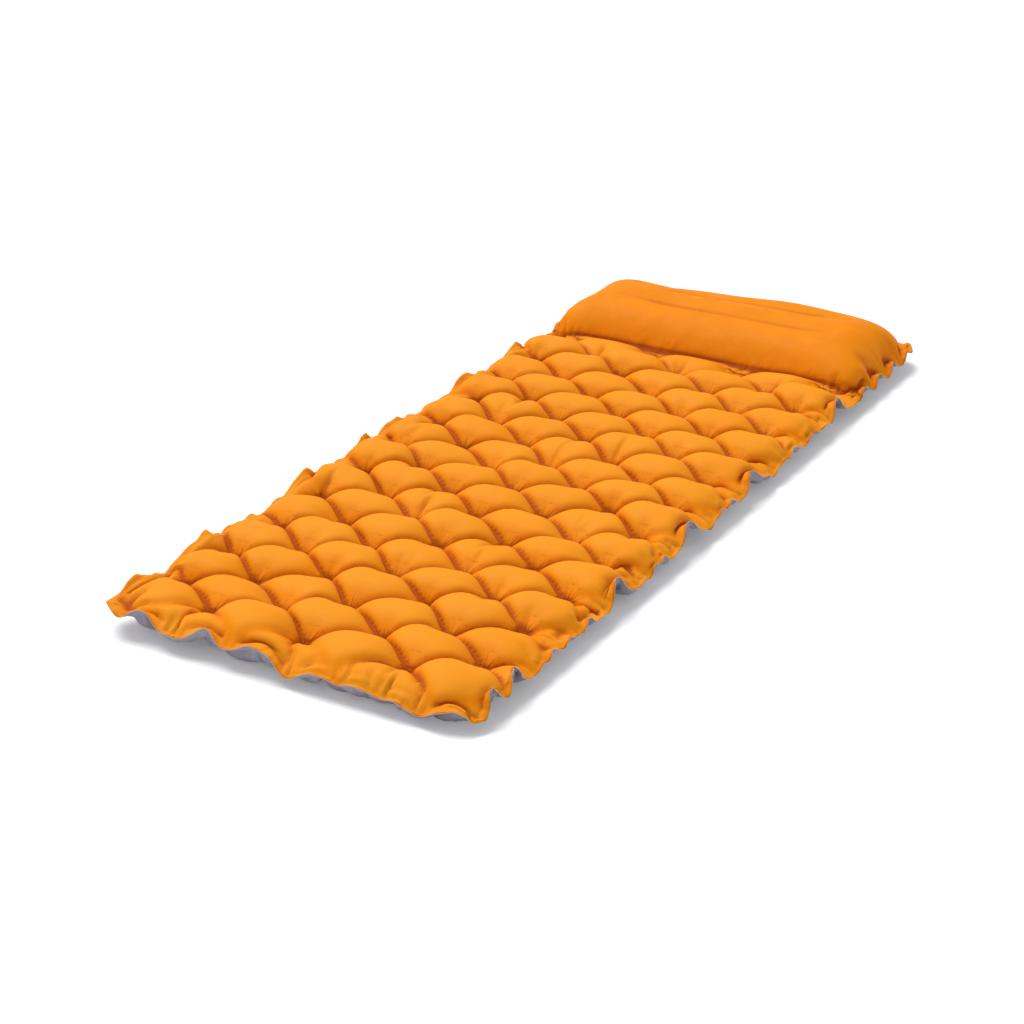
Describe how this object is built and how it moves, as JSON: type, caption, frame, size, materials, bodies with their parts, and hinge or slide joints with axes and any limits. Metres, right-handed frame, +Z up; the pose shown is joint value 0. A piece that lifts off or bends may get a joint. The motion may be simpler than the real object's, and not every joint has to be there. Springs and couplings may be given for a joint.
{
  "type": "inflatable sleeping pad",
  "caption": "Long air-filled camping mat quilted by weld spots into soft domes, with a raised full-width bolster pillow at the head and a flat inflation valve behind it.",
  "frame": {"origin": "under the middle of the pad, on the surface that it lies on", "axes": "+Z up, +Y from the foot edge to the pillow, X across the pad"},
  "size_m": [0.75, 1.9, 0.11],
  "materials": {
    "orange_fabric": "matt woven nylon with a soft sheen, coated inside",
    "grey_fabric": "matt woven nylon, coated inside",
    "baffle_fabric": "coated scrim",
    "orange_patch": "satin thermoplastic film, welded on",
    "valve_plastic": "fine moulded texture",
    "strap_rubber": "satin",
    "silicone": "satin, slightly translucent"
  },
  "bodies": {
    "pad": {"bottom_sheet": "grey_fabric", "mattress_top_sheet": "orange_fabric", "pillow_top_sheet": "orange_fabric", "pillow_baffle_front": "baffle_fabric", "pillow_baffle_rear": "baffle_fabric", "valve_patch": "orange_patch", "valve_socket": "valve_plastic", "plug_strap": "strap_rubber"},
    "plug": {"deflation_plug": "valve_plastic", "plug_gasket": "silicone", "cap_strap": "strap_rubber"},
    "cap": {"inflation_cap": "valve_plastic", "cap_gasket": "silicone"},
    "check_disc": {"check_valve_disc": "silicone"}
  },
  "joints": [
    {"name": "plug_hinge", "type": "hinge", "parent": "pad", "child": "plug", "pos_m": [-0.171, 0.90442, 0.06906], "axis": [0, 0.7071, -0.7071], "range_deg": [0, 115]},
    {"name": "cap_hinge", "type": "hinge", "parent": "plug", "child": "cap", "pos_m": [-0.2168, 0.90831, 0.07295], "axis": [0, -0.7071, 0.7071], "range_deg": [0, 115]},
    {"name": "check_slide", "type": "slide", "parent": "plug", "child": "check_disc", "axis": [0, -0.7071, -0.7071], "range_m": [0, 0.002], "stiffness_N_per_m": 5, "springref_m": -0.002}
  ]
}
